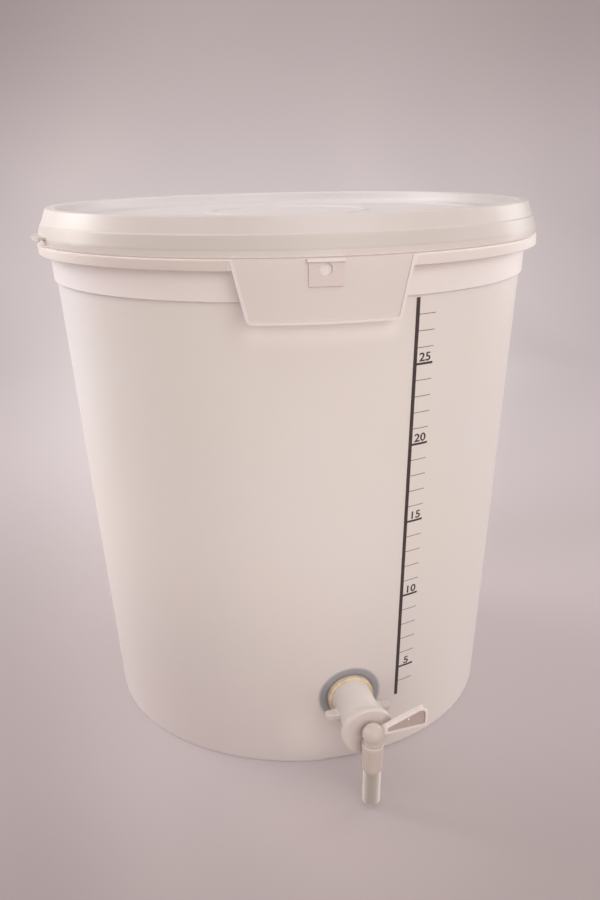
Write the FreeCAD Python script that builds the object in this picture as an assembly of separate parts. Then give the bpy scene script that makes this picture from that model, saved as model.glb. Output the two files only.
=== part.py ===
import FreeCAD, Part
import math
import os

# Fermentation bucket with tap, 30 litres: bucket, snap lid and a quarter-turn key tap.
# Millimetres. +Z is up, the origin is the centre of the foot on the floor.
# The grip panels face -Y and +Y. Azimuths turn from -Y towards +X.

# Bucket wall and floor
FLANGE_R = 186.8           # outside of the flange, the bucket's widest round
FOOT_INSET = 28.5          # how far the foot stands in from the flange
FOOT_OUTER_R = FLANGE_R - FOOT_INSET
WALL_SLOPE = 0.0505        # outward lean of the wall for each millimetre of height
WALL = 2.0                 # wall thickness
FOOT_WIDTH = 5.6           # width of the foot ring under the floor
FOOT_ROUND = 3.0
FLOOR_TOP_Z = 10.0         # upper face of the raised floor
FLOOR_THICKNESS = 2.5
FLOOR_ROUND = 6.0
FLOOR_RIB_R = 96.0         # ring rib under the floor
FLOOR_RIB_WIDTH = 2.4
FLOOR_RIB_DEPTH = 2.0
GATE_R = 7.0               # round left by the moulding gate, under the floor
GATE_DEPTH = 1.0

# Collar, flange and rim of the bucket
COLLAR_Z = 349.0           # height of the step from wall to collar
COLLAR_STEP = 2.0          # how far the collar stands out from the wall there
COLLAR_LEAN = 0.035        # outward lean of the collar for each millimetre of height
FLANGE_TOP_Z = 375.0
FLANGE_DEPTH = 6.8         # height of the flange's hanging skirt
FLANGE_WALL = 2.2
RIM_TOP_Z = 396.7
FLANGE_STEP = 10.0         # how far the flange stands out from the neck
NECK_R = FLANGE_R - FLANGE_STEP
NECK_WALL = 2.4
SNAP_PROUD = 3.7           # how far the snap bead stands out from the neck
SNAP_Z = 385.0             # middle of the snap bead
SNAP_LAND = 1.6            # height of the bead's crest
SNAP_RAMP = 2.6            # height of each ramp beside the crest

# Grip panels on the flange
PANEL_BOTTOM_Z = 337.5
PANEL_TOP_HALF = 55.5      # half of the width at the flange
PANEL_BOTTOM_HALF = 46.7   # half of the width at the free edge
PANEL_PROUD = 0.6          # how far the panel stands out from the flange
PANEL_WALL = 2.0
PANEL_CORNER = 4.0
PANEL_WEB = 1.8            # side webs that tie the panel to the collar
BEAD_WIDTH = 2.2
BEAD_PROUD = 0.8
BOSS_WIDTH = 20.6          # square socket boss for a bail
BOSS_BOTTOM_Z = 359.4
BOSS_PROUD = 1.1
LEDGE_WIDTH = 22.4
LEDGE_HEIGHT = 1.6
LEDGE_PROUD = 2.4
SOCKET_R = 3.75
SOCKET_DEPTH = 1.9         # blind, so a thin floor is left
SOCKET_Z = 369.2

# Lid
LID_SEAT_GAP = 0.3         # between the rim and the lid above it
LID_WALL = 2.0
LID_TOP_PROUD = 2.3        # outer corner of the raised rim, out from the neck
LID_STEP_Z = 388.6         # ledge between the two bands of the skirt
LID_UPPER_PROUD = 6.0      # upper band at the ledge, out from the neck
LID_LOWER_PROUD = 7.0      # lower band at the ledge, out from the neck
LID_SKIRT_PROUD = 9.4      # lower band at its fullest, out from the neck
LID_SKIRT_R = NECK_R + LID_SKIRT_PROUD
LID_SKIRT_GAP = 1.0        # between the flange and the skirt's lower edge
LID_DISH_DEPTH = 8.3       # from the raised rim down to the dished floor
LID_PLUG_DEPTH = 4.6       # plug wall below the dished floor's upper face
LID_PLUG_GAP = 0.4         # between the plug wall and the neck's inside
LID_SNAP_GAP = 0.3         # between the two snap beads
LID_CENTRE_R = 118.0       # raised middle of the dish
LID_CENTRE_RISE = 1.0
LID_DISH_ROUND = 4.0       # where the dished floor meets the rim
LID_INNER_RING_R = 60.0
LID_OUTER_RING_INSET = 24.0  # outer ring, in from the plug
LID_RING_WIDTH = 6.0
LID_RING_RISE = 0.8
TAB_AZIMUTH = -74.5
TAB_WIDTH = 38.0
TAB_REACH = 4.5
TAB_TOP_Z = 381.8
TAB_HEIGHT = 4.0
TAB_WALL = 1.5
TAB_NOTCH_HEIGHT = 3.4

# Tap place
TAP_AZIMUTH = 6.9
TAP_Z = 58.8               # centre of the hole in the outer wall face
TAP_HOLE_R = 13.5

# Tap body, measured outwards from the wall along the hole's axis
THREAD_R = 13.2
TAIL_LENGTH = 19.0         # from the outer wall face to the tail's end inside
GASKET_THICKNESS = 3.2
SHANK_R = 14.7
TAP_BORE_R = 9.8
BORE_END = 40.0
DISC_R = 18.6
DISC_BACK = 37.0
DISC_FRONT = 44.0
DISC_ROUND = 1.6
WING_HALF_SPAN = 24.4
WING_THICKNESS = 4.4
WING_BACK = 13.0
WING_FRONT = 22.5
WING_TIP_ROUND = 2.8

# Barrel and spout, heights from the shank's axis
BARREL_OUT = 52.0          # distance of the barrel's axis from the wall
BARREL_R = 7.4
BARREL_TOP = -2.0
BARREL_BOTTOM = -21.5
BRIDGE_WIDTH = 11.0        # joins the disc to the barrel behind the plug
SPOUT_R = 6.3
SPOUT_TOP = -24.0
SPOUT_END = -51.7
SPOUT_BORE_R = 4.5
PORT_R = 3.0
PORT_HEIGHT = -7.0

# Key: plug, ball and lever
PLUG_CLEARANCE = 0.05
PLUG_R = 5.0
PLUG_BORE_R = 3.4
PLUG_SEAT_GAP = 0.3
NECK_KEY_R = 6.4
BALL_R = 7.5
BALL_HEIGHT = 5.7
LEVER_REACH = 38.7
LEVER_THICKNESS = 4.4
LEVER_WEB = 2.0
LEVER_TIP_TOP = 24.3
LEVER_TIP_BOTTOM = 7.0
LEVER_ROOT_TOP = 9.4
LEVER_ROOT_BOTTOM = 4.6
LEVER_ROOT = 3.8
LEVER_RIM = 1.7
LEVER_END_RIM = 1.9

# Seals and backnut
GASKET_R = 17.0
WASHER_R = 22.6
WASHER_THICKNESS = 3.0
SEAL_GAP = 0.05
NUT_ACROSS_FLATS = 34.0
NUT_HEIGHT = 9.0
NUT_CLEARANCE = 0.1

AXIS_Z = FreeCAD.Vector(0, 0, 1)
AXIS_X = FreeCAD.Vector(1, 0, 0)
ORIGIN = FreeCAD.Vector(0, 0, 0)
OVERSIZE = 60.0            # how far cutting bodies run past what they cut


def wall_outer_r(z):
    return FOOT_OUTER_R + WALL_SLOPE * z


def collar_outer_r(z):
    return wall_outer_r(COLLAR_Z) + COLLAR_STEP + COLLAR_LEAN * (z - COLLAR_Z)


def rounded_wire(corners, to_point):
    """Closed wire through corners (a, b, round), with a tangent arc at each rounded corner."""
    points = [(FreeCAD.Vector(c[0], c[1], 0), c[2] if len(c) > 2 else 0.0) for c in corners]
    count = len(points)
    spans = []
    for i in range(count):
        here, radius = points[i]
        if radius <= 0:
            spans.append((here, None, here))
            continue
        back = (points[i - 1][0] - here).normalize()
        ahead = (points[(i + 1) % count][0] - here).normalize()
        half = back.getAngle(ahead) / 2.0
        trim = radius / math.tan(half)
        bisector = (back + ahead).normalize()
        middle = here + bisector * (radius / math.sin(half) - radius)
        spans.append((here + back * trim, middle, here + ahead * trim))
    edges = []
    for i in range(count):
        start, middle, end = spans[i]
        if middle is not None:
            arc = Part.Arc(to_point(start), to_point(middle), to_point(end))
            edges.append(arc.toShape())
        following = spans[(i + 1) % count][0]
        if end.distanceToPoint(following) > 1e-6:
            edges.append(Part.LineSegment(to_point(end), to_point(following)).toShape())
    return Part.Wire(edges)


def revolved(corners):
    """Solid of revolution about Z from corners (radius, height, round)."""
    wire = rounded_wire(corners, lambda p: FreeCAD.Vector(p.x, 0, p.y))
    return Part.Face(wire).revolve(ORIGIN, AXIS_Z, 360)


def upright_plate(corners, y_low, y_high):
    """Plate with outline corners (x, z, round), from y_low to y_high."""
    wire = rounded_wire(corners, lambda p: FreeCAD.Vector(p.x, y_low, p.y))
    return Part.Face(wire).extrude(FreeCAD.Vector(0, y_high - y_low, 0))


def ring(outer_r, inner_r, z_low, z_high):
    base = FreeCAD.Vector(0, 0, z_low)
    outer = Part.makeCylinder(outer_r, z_high - z_low, base)
    return outer.cut(Part.makeCylinder(inner_r, z_high - z_low, base))


def bucket_outside():
    """Filled outer form of the bucket, with the groove under the flange."""
    flange_low = FLANGE_TOP_Z - FLANGE_DEPTH
    flange_under = FLANGE_TOP_Z - FLANGE_WALL
    skirt_inner = FLANGE_R - FLANGE_WALL
    crest_r = NECK_R + SNAP_PROUD
    crest_low = SNAP_Z - SNAP_LAND / 2.0
    crest_high = SNAP_Z + SNAP_LAND / 2.0
    return revolved([
        (0, 0),
        (FOOT_OUTER_R, 0, FOOT_ROUND),
        (wall_outer_r(COLLAR_Z), COLLAR_Z),
        (collar_outer_r(COLLAR_Z), COLLAR_Z, 0.8),
        (collar_outer_r(flange_under), flange_under),
        (skirt_inner, flange_under),
        (skirt_inner, flange_low),
        (FLANGE_R, flange_low, 0.6),
        (FLANGE_R, FLANGE_TOP_Z, 0.8),
        (NECK_R, FLANGE_TOP_Z),
        (NECK_R, crest_low - SNAP_RAMP),
        (crest_r, crest_low),
        (crest_r, crest_high),
        (NECK_R, crest_high + SNAP_RAMP),
        (NECK_R, RIM_TOP_Z, 1.1),
        (0, RIM_TOP_Z),
    ])


def bucket_inside():
    """Space inside the bucket, from the floor up through the rim."""
    step_low = COLLAR_Z - 1.0
    step_high = COLLAR_Z + 1.5
    collar_inner = collar_outer_r(COLLAR_Z) - WALL
    neck_inner = NECK_R - NECK_WALL
    neck_low = FLANGE_TOP_Z - FLANGE_WALL
    return revolved([
        (0, FLOOR_TOP_Z),
        (wall_outer_r(FLOOR_TOP_Z) - WALL, FLOOR_TOP_Z, FLOOR_ROUND),
        (wall_outer_r(step_low) - WALL, step_low),
        (collar_inner, step_high),
        (neck_inner, neck_low),
        (neck_inner, RIM_TOP_Z),
        (neck_inner, RIM_TOP_Z + OVERSIZE),
        (0, RIM_TOP_Z + OVERSIZE),
    ])


def foot_recess():
    """Space under the raised floor, inside the foot ring, round the ring rib and the gate mark."""
    foot_inner = FOOT_OUTER_R - FOOT_WIDTH
    recess_top = FLOOR_TOP_Z - FLOOR_THICKNESS
    rib_inner = FLOOR_RIB_R - FLOOR_RIB_WIDTH / 2.0
    rib_outer = FLOOR_RIB_R + FLOOR_RIB_WIDTH / 2.0
    return revolved([
        (0, -OVERSIZE),
        (foot_inner, -OVERSIZE),
        (foot_inner, recess_top, 1.0),
        (rib_outer, recess_top),
        (rib_outer, recess_top - FLOOR_RIB_DEPTH),
        (rib_inner, recess_top - FLOOR_RIB_DEPTH),
        (rib_inner, recess_top),
        (GATE_R, recess_top),
        (GATE_R, recess_top - GATE_DEPTH, 0.4),
        (0, recess_top - GATE_DEPTH),
    ])


def panel_outline(inset, bottom_inset, corner):
    """Trapezoid of a grip panel, drawn in by inset at the sides."""
    bottom = PANEL_BOTTOM_Z + bottom_inset
    lean = (PANEL_TOP_HALF - PANEL_BOTTOM_HALF) / (FLANGE_TOP_Z - PANEL_BOTTOM_Z)
    low_half = PANEL_BOTTOM_HALF + lean * bottom_inset - inset
    top_half = PANEL_TOP_HALF - inset
    return [
        (-low_half, bottom, corner),
        (low_half, bottom, corner),
        (top_half, FLANGE_TOP_Z),
        (-top_half, FLANGE_TOP_Z),
    ]


def front_panel():
    """Grip panel at -Y with its beaded edge, side webs, socket boss and ledge."""
    face_r = FLANGE_R + PANEL_PROUD
    far = -face_r - OVERSIZE
    blank = upright_plate(panel_outline(0, 0, PANEL_CORNER), far, 0)
    drawn_in = upright_plate(panel_outline(BEAD_WIDTH, BEAD_WIDTH, PANEL_CORNER - BEAD_WIDTH), far, 0)
    between_webs = upright_plate(panel_outline(PANEL_WEB, -OVERSIZE, 0), far, 0)
    plate = ring(face_r, face_r - PANEL_WALL, PANEL_BOTTOM_Z, FLANGE_TOP_Z).common(blank)
    bead_ring = ring(face_r + BEAD_PROUD, face_r - 0.5, PANEL_BOTTOM_Z, FLANGE_TOP_Z)
    bead = bead_ring.common(blank.cut(drawn_in))
    core_r = wall_outer_r(PANEL_BOTTOM_Z) - WALL / 2.0
    webs = ring(face_r - 0.5, core_r, PANEL_BOTTOM_Z, FLANGE_TOP_Z - FLANGE_WALL / 2.0)
    webs = webs.common(blank).cut(between_webs)
    ledge_low = FLANGE_TOP_Z - LEDGE_HEIGHT
    boss_ring = ring(face_r + BOSS_PROUD, face_r - 0.5, BOSS_BOTTOM_Z, ledge_low)
    boss = boss_ring.common(block(BOSS_WIDTH, far, 0, BOSS_BOTTOM_Z, ledge_low))
    ledge_ring = ring(face_r + LEDGE_PROUD, face_r - 0.5, ledge_low, FLANGE_TOP_Z)
    ledge = ledge_ring.common(block(LEDGE_WIDTH, far, 0, ledge_low, FLANGE_TOP_Z))
    return plate.fuse([bead, webs, boss, ledge])


def block(width, y_low, y_high, z_low, z_high):
    corner = FreeCAD.Vector(-width / 2.0, y_low, z_low)
    return Part.makeBox(width, y_high - y_low, z_high - z_low, corner)


def socket_hole():
    """Blind hole for a bail end in the boss of the front panel."""
    floor_y = -(FLANGE_R + PANEL_PROUD + BOSS_PROUD - SOCKET_DEPTH)
    start = FreeCAD.Vector(0, floor_y, SOCKET_Z)
    return Part.makeCylinder(SOCKET_R, OVERSIZE, start, FreeCAD.Vector(0, -1, 0))


def half_turn(shape):
    turned = shape.copy()
    turned.rotate(ORIGIN, AXIS_Z, 180)
    return turned


def make_bucket():
    """One moulding: wall, floor, collar, flange, rim, two grip panels and the tap hole."""
    panel = front_panel()
    solid = bucket_outside().fuse([panel, half_turn(panel)])
    hole = socket_hole()
    tap_hole = tap_placed(outward([(0, -2 * WALL), (TAP_HOLE_R, -2 * WALL), (TAP_HOLE_R, WALL), (0, WALL)]))
    solid = solid.cut([bucket_inside(), foot_recess(), hole, half_turn(hole), tap_hole])
    return solid.removeSplitter()


def lid_shell():
    """Lid section: dished floor with rings, raised rim, stepped skirt, snap bead and plug."""
    seat_z = RIM_TOP_Z + LID_SEAT_GAP
    top_z = seat_z + LID_WALL
    dish_z = top_z - LID_DISH_DEPTH
    under_z = dish_z - LID_WALL
    plug_z = dish_z - LID_PLUG_DEPTH
    plug_outer = NECK_R - NECK_WALL - LID_PLUG_GAP
    plug_inner = plug_outer - LID_WALL
    skirt_z = FLANGE_TOP_Z + LID_SKIRT_GAP
    top_r = NECK_R + LID_TOP_PROUD
    upper_r = NECK_R + LID_UPPER_PROUD
    lower_r = NECK_R + LID_LOWER_PROUD
    snap_r = NECK_R + SNAP_PROUD + LID_SNAP_GAP
    snap_z = SNAP_Z - SNAP_LAND / 2.0 - SNAP_RAMP
    centre_z = dish_z + LID_CENTRE_RISE
    corners = [(0, centre_z)]
    for middle in (LID_INNER_RING_R, plug_inner - LID_OUTER_RING_INSET):
        level = centre_z if middle < LID_CENTRE_R else dish_z
        if middle > LID_CENTRE_R:
            corners += [(LID_CENTRE_R, centre_z), (LID_CENTRE_R + 2.5, dish_z)]
        half = LID_RING_WIDTH / 2.0
        corners += [
            (middle - half, level),
            (middle - half / 2.0, level + LID_RING_RISE),
            (middle + half / 2.0, level + LID_RING_RISE),
            (middle + half, level),
        ]
    corners += [
        (plug_inner - 0.8, dish_z, LID_DISH_ROUND),
        (plug_inner, top_z, 1.4),
        (top_r, top_z, 1.6),
        (upper_r, LID_STEP_Z + 0.4),
        (lower_r, LID_STEP_Z - 0.3, 0.5),
        (LID_SKIRT_R, SNAP_Z - 4.8, 8.0),
        (LID_SKIRT_R - 0.2, skirt_z, 0.6),
        (LID_SKIRT_R - LID_WALL, skirt_z),
        (LID_SKIRT_R - LID_WALL + 0.1, snap_z - 2.6),
        (snap_r, snap_z - 1.2),
        (snap_r, snap_z - 0.4),
        (LID_SKIRT_R - LID_WALL - 0.2, snap_z + 1.2),
        (lower_r - LID_WALL, LID_STEP_Z - 2.4),
        (upper_r - LID_WALL, LID_STEP_Z - 1.0),
        (top_r - LID_WALL + 0.4, seat_z),
        (plug_outer, seat_z),
        (plug_outer - 0.3, plug_z, 0.6),
        (plug_inner - 0.5, plug_z),
        (plug_inner - 0.8, under_z),
        (LID_CENTRE_R + 2.5, under_z),
        (LID_CENTRE_R, under_z + LID_CENTRE_RISE),
        (0, under_z + LID_CENTRE_RISE),
    ]
    return revolved(corners)


def lid_tab():
    """Lifting tab with a turned-down edge, built facing -Y."""
    root_r = LID_SKIRT_R - LID_WALL / 2.0
    reach_r = LID_SKIRT_R + TAB_REACH
    top = ring(reach_r, root_r, TAB_TOP_Z - TAB_WALL, TAB_TOP_Z)
    lip = ring(reach_r, reach_r - TAB_WALL, TAB_TOP_Z - TAB_HEIGHT, TAB_TOP_Z)
    sector = block(TAB_WIDTH, -reach_r - 1.0, 0, 0, TAB_TOP_Z + 1.0)
    return top.fuse(lip).common(sector)


def make_lid():
    """One moulding: dished lid with the lifting tab over a notch in its skirt."""
    skirt_z = FLANGE_TOP_Z + LID_SKIRT_GAP
    notch_low = skirt_z - 1.0
    notch = block(TAB_WIDTH, -LID_SKIRT_R - OVERSIZE, -LID_SKIRT_R + 4.0, notch_low, skirt_z + TAB_NOTCH_HEIGHT)
    tab = lid_tab()
    for piece in (tab, notch):
        piece.rotate(ORIGIN, AXIS_Z, TAB_AZIMUTH)
    return lid_shell().fuse(tab).cut(notch).removeSplitter()


def outward(corners):
    """Solid of revolution about the tap's shank axis, corners (radius, distance out, round)."""
    solid = revolved(corners)
    solid.rotate(ORIGIN, AXIS_X, 90)
    return solid


def upright(corners):
    """Solid of revolution about the barrel's axis, corners (radius, height, round)."""
    solid = revolved(corners)
    solid.translate(FreeCAD.Vector(0, -BARREL_OUT, 0))
    return solid


def tap_placed(shape):
    """Moves a tap piece to its hole: out is -Y, square to the leaning wall."""
    placed = shape.copy()
    placed.rotate(ORIGIN, AXIS_X, math.degrees(math.atan(WALL_SLOPE)))
    placed.translate(FreeCAD.Vector(0, -wall_outer_r(TAP_Z), TAP_Z))
    placed.rotate(ORIGIN, AXIS_Z, TAP_AZIMUTH)
    return placed


def wing_outline():
    """Outline of both wings seen from above, as (x, y, round)."""
    return [
        (-WING_HALF_SPAN, -WING_FRONT + 0.8, WING_TIP_ROUND),
        (0, -WING_FRONT - 1.6),
        (WING_HALF_SPAN, -WING_FRONT + 0.8, WING_TIP_ROUND),
        (WING_HALF_SPAN, -WING_BACK - 2.2, WING_TIP_ROUND),
        (0, -WING_BACK),
        (-WING_HALF_SPAN, -WING_BACK - 2.2, WING_TIP_ROUND),
    ]


def make_wings():
    low = -WING_THICKNESS / 2.0
    wire = rounded_wire(wing_outline(), lambda p: FreeCAD.Vector(p.x, p.y, low))
    plate = Part.Face(wire).extrude(FreeCAD.Vector(0, 0, WING_THICKNESS))
    tips = [e for e in plate.Edges if abs(e.CenterOfMass.x) > WING_HALF_SPAN / 3.0
            and abs(abs(e.CenterOfMass.z) - WING_THICKNESS / 2.0) < 1e-6]
    return plate.makeFillet(0.9, tips)


def make_tap_body():
    """One moulding: threaded tail, shank, wings, disc, barrel and spout, drilled through."""
    shank = outward([
        (0, -TAIL_LENGTH),
        (THREAD_R, -TAIL_LENGTH, 1.0),
        (THREAD_R, GASKET_THICKNESS),
        (SHANK_R, GASKET_THICKNESS, 0.5),
        (SHANK_R, DISC_BACK),
        (DISC_R, DISC_BACK, DISC_ROUND),
        (DISC_R, DISC_FRONT - 0.9, DISC_ROUND),
        (BARREL_R, DISC_FRONT),
        (0, DISC_FRONT),
    ])
    barrel = upright([
        (0, SPOUT_END),
        (SPOUT_R, SPOUT_END, 0.6),
        (SPOUT_R, SPOUT_TOP),
        (BARREL_R, BARREL_BOTTOM),
        (BARREL_R, BARREL_TOP, 0.6),
        (0, BARREL_TOP),
    ])
    bore = outward([
        (0, -TAIL_LENGTH - 1.0),
        (TAP_BORE_R, -TAIL_LENGTH - 1.0),
        (TAP_BORE_R, BORE_END),
        (0, BORE_END),
    ])
    plug_seat = BARREL_BOTTOM - 0.6
    barrel_bore = upright([
        (0, SPOUT_END - 1.0),
        (SPOUT_BORE_R, SPOUT_END - 1.0),
        (SPOUT_BORE_R, plug_seat),
        (PLUG_R + PLUG_CLEARANCE, plug_seat),
        (PLUG_R + PLUG_CLEARANCE, BARREL_TOP + 1.0),
        (0, BARREL_TOP + 1.0),
    ])
    port_start = FreeCAD.Vector(0, -BORE_END + 1.0, PORT_HEIGHT)
    port = Part.makeCylinder(PORT_R, BARREL_OUT - BORE_END + 1.0, port_start, FreeCAD.Vector(0, -1, 0))
    bridge = block(BRIDGE_WIDTH, -BARREL_OUT, -BORE_END, BARREL_BOTTOM + 1.0, BARREL_TOP - 1.0)
    body = shank.fuse([barrel, bridge, make_wings()])
    body = body.cut([bore, barrel_bore, port])
    return tap_placed(body.removeSplitter())


def lever_outline(rim, end_rim):
    """Outline of the lever, or of its sunk face when the rims are given."""
    root = LEVER_ROOT + (6.0 if rim > 0 else 0.0)
    share = (root - LEVER_ROOT) / (LEVER_REACH - LEVER_ROOT)
    root_low = LEVER_ROOT_BOTTOM + share * (LEVER_TIP_BOTTOM - LEVER_ROOT_BOTTOM) + rim
    root_high = LEVER_ROOT_TOP + share * (LEVER_TIP_TOP - LEVER_ROOT_TOP) - rim
    return [
        (root, root_low),
        (LEVER_REACH - end_rim, LEVER_TIP_BOTTOM + rim, 3.0 - rim),
        (LEVER_REACH - end_rim, LEVER_TIP_TOP - rim - 0.4 * end_rim, 5.0 - rim),
        (root, root_high),
    ]


def make_lever():
    """Fan-shaped paddle with a rim and a sunk face on both sides."""
    half = LEVER_THICKNESS / 2.0
    sink = (LEVER_THICKNESS - LEVER_WEB) / 2.0
    paddle = upright_plate(lever_outline(0, 0), -BARREL_OUT - half, -BARREL_OUT + half)
    long_edges = [e for e in paddle.Edges if abs(abs(e.CenterOfMass.y + BARREL_OUT) - half) < 1e-6
                  and e.CenterOfMass.x > LEVER_ROOT + 0.5]
    paddle = paddle.makeFillet(0.5, long_edges)
    front = upright_plate(lever_outline(LEVER_RIM, LEVER_END_RIM),
                          -BARREL_OUT - half - 1.0, -BARREL_OUT - half + sink)
    back = upright_plate(lever_outline(LEVER_RIM, LEVER_END_RIM),
                         -BARREL_OUT + half - sink, -BARREL_OUT + half + 1.0)
    return paddle.cut([front, back])


def make_tap_key():
    """One moulding: ported plug, neck, ball and lever, at rest shut with the lever across."""
    plug_low = BARREL_BOTTOM - 0.6 + PLUG_SEAT_GAP
    neck_low = BARREL_TOP + PLUG_SEAT_GAP
    stem = upright([
        (0, plug_low),
        (PLUG_R, plug_low, 0.4),
        (PLUG_R, neck_low),
        (NECK_KEY_R, neck_low, 0.4),
        (NECK_KEY_R, BALL_HEIGHT),
        (0, BALL_HEIGHT),
    ])
    ball = Part.makeSphere(BALL_R, FreeCAD.Vector(0, -BARREL_OUT, BALL_HEIGHT), AXIS_Z, -90, 90, 360)
    flat_z = neck_low + 0.4
    below = Part.makeBox(4 * BALL_R, 4 * BALL_R, 2 * BALL_R,
                         FreeCAD.Vector(-2 * BALL_R, -BARREL_OUT - 2 * BALL_R, flat_z - 2 * BALL_R))
    ball = ball.cut(below)
    hollow = upright([
        (0, plug_low - 1.0),
        (PLUG_BORE_R, plug_low - 1.0),
        (PLUG_BORE_R, PORT_HEIGHT + PORT_R + 0.4),
        (0, PORT_HEIGHT + PORT_R + 0.4),
    ])
    side_port = Part.makeCylinder(
        PORT_R, PLUG_R + 1.0, FreeCAD.Vector(0, -BARREL_OUT, PORT_HEIGHT), FreeCAD.Vector(-1, 0, 0))
    key = stem.fuse([ball, make_lever()]).cut([hollow, side_port])
    return tap_placed(key.removeSplitter())


def wall_cone(offset):
    """Filled cone that follows the outer wall at a distance, for pieces bent to it."""
    low = TAP_Z - OVERSIZE / 2.0
    high = TAP_Z + OVERSIZE / 2.0
    return Part.makeCone(wall_outer_r(low) + offset, wall_outer_r(high) + offset, high - low,
                         FreeCAD.Vector(0, 0, low))


def make_outer_gasket():
    """Flat gasket between the shank's shoulder and the round wall, its back bent to the wall."""
    blank = tap_placed(outward([
        (TAP_HOLE_R, -3.0),
        (GASKET_R, -3.0),
        (GASKET_R, GASKET_THICKNESS, 0.5),
        (TAP_HOLE_R, GASKET_THICKNESS),
    ]))
    return blank.cut(wall_cone(SEAL_GAP))


def make_inner_washer():
    """Rubber washer inside the wall, bent to it by the backnut."""
    deep = 3 * WASHER_THICKNESS
    blank = tap_placed(outward([
        (TAP_HOLE_R, -deep),
        (WASHER_R, -deep),
        (WASHER_R, 0),
        (TAP_HOLE_R, 0),
    ]))
    face = wall_cone(-WALL - SEAL_GAP)
    back = wall_cone(-WALL - SEAL_GAP - WASHER_THICKNESS)
    return blank.common(face.cut(back))


def make_backnut():
    """Six-sided nut on the tail that pulls the tap against the wall."""
    corner_r = NUT_ACROSS_FLATS / math.sqrt(3.0)
    sagitta = corner_r ** 2 / (2.0 * wall_outer_r(TAP_Z))
    face = -(WALL + SEAL_GAP + WASHER_THICKNESS + sagitta)
    back = face - NUT_HEIGHT
    points = [FreeCAD.Vector(corner_r * math.cos(math.radians(60 * i)), -back,
                             corner_r * math.sin(math.radians(60 * i))) for i in range(7)]
    blank = Part.Face(Part.makePolygon(points)).extrude(FreeCAD.Vector(0, -NUT_HEIGHT, 0))
    rounding = outward([
        (0, back),
        (corner_r - 1.6, back),
        (corner_r, back + 1.2),
        (corner_r, face - 1.2),
        (corner_r - 1.6, face),
        (0, face),
    ])
    hole_r = THREAD_R + NUT_CLEARANCE
    hole = outward([(0, back - 1.0), (hole_r, back - 1.0), (hole_r, face + 1.0), (0, face + 1.0)])
    return tap_placed(blank.common(rounding).cut(hole))


def main():
    os.makedirs("parts", exist_ok=True)
    nodes = {
        "bucket": make_bucket(),
        "lid": make_lid(),
        "tap_body": make_tap_body(),
        "tap_key": make_tap_key(),
        "outer_gasket": make_outer_gasket(),
        "inner_washer": make_inner_washer(),
        "backnut": make_backnut(),
    }
    for name, shape in nodes.items():
        box = shape.BoundBox
        print(name, "solids", len(shape.Solids), "valid", shape.isValid(),
              "volume", round(shape.Volume), "z", round(box.ZMin, 2), round(box.ZMax, 2))
        shape.exportStep("parts/" + name + ".step")


main()
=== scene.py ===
"""Fermentation bucket with tap: finishes, printed litre scale, studio and camera round the solids."""

import logging
import math
from dataclasses import dataclass
from enum import Enum
from typing import Any, Mapping, Sequence, Union

import bpy
from mathutils import Matrix, Vector


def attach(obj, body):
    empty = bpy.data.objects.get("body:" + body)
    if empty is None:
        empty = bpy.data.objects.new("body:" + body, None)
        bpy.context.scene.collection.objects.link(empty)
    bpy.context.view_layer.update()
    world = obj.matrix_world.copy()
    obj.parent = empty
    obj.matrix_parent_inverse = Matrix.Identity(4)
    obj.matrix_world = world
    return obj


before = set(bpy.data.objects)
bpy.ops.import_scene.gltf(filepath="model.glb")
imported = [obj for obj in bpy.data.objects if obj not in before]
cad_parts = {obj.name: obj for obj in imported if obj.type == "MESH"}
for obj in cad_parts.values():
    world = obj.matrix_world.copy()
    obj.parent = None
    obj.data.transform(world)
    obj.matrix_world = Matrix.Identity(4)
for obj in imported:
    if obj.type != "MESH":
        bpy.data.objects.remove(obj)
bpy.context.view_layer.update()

LOG = logging.getLogger("bucket")
MM = 0.001
LITRE = 0.001

Colour = tuple[float, float, float]
Triple = tuple[float, float, float]
DARK: Colour = (0.0, 0.0, 0.0)


def srgb(red: float, green: float, blue: float) -> Colour:
    """Turns screen values from 0 to 255 into scene values.

    Args:
        red: Red on the screen.
        green: Green on the screen.
        blue: Blue on the screen.

    Returns:
        The colour in scene values.
    """

    def channel(value: float) -> float:
        """Gives one channel in scene values."""
        share = value / 255.0
        return share / 12.92 if share <= 0.04045 else ((share + 0.055) / 1.055) ** 2.4

    return channel(red), channel(green), channel(blue)


class Axis(Enum):
    """The three axes of the part's frame."""

    X = 0
    Y = 1
    Z = 2


@dataclass(frozen=True)
class BucketShape:
    """Sizes of the bucket's wall that finishes and print follow, in metres."""

    foot_radius: float = 158.3 * MM
    slope: float = 0.0505
    wall: float = 2.0 * MM
    floor_height: float = 10.0 * MM
    collar_height: float = 349.0 * MM
    flange_low: float = 368.2 * MM
    flange_high: float = 375.0 * MM
    flange_root: float = 181.9 * MM
    gap_radius: float = 186.3 * MM

    def radius(self, height: float) -> float:
        """Gives the wall's outer radius at a height."""
        return self.foot_radius + self.slope * height

    def litre_height(self, litres: float) -> float:
        """Height of the liquid's surface.

        Args:
            litres: Volume of liquid in the bucket.

        Returns:
            The height above the foot, in metres.
        """
        low = self.radius(self.floor_height) - self.wall
        cube = low**3 + 3.0 * self.slope * litres * LITRE / math.pi
        return self.floor_height + (cube ** (1.0 / 3.0) - low) / self.slope


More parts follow.
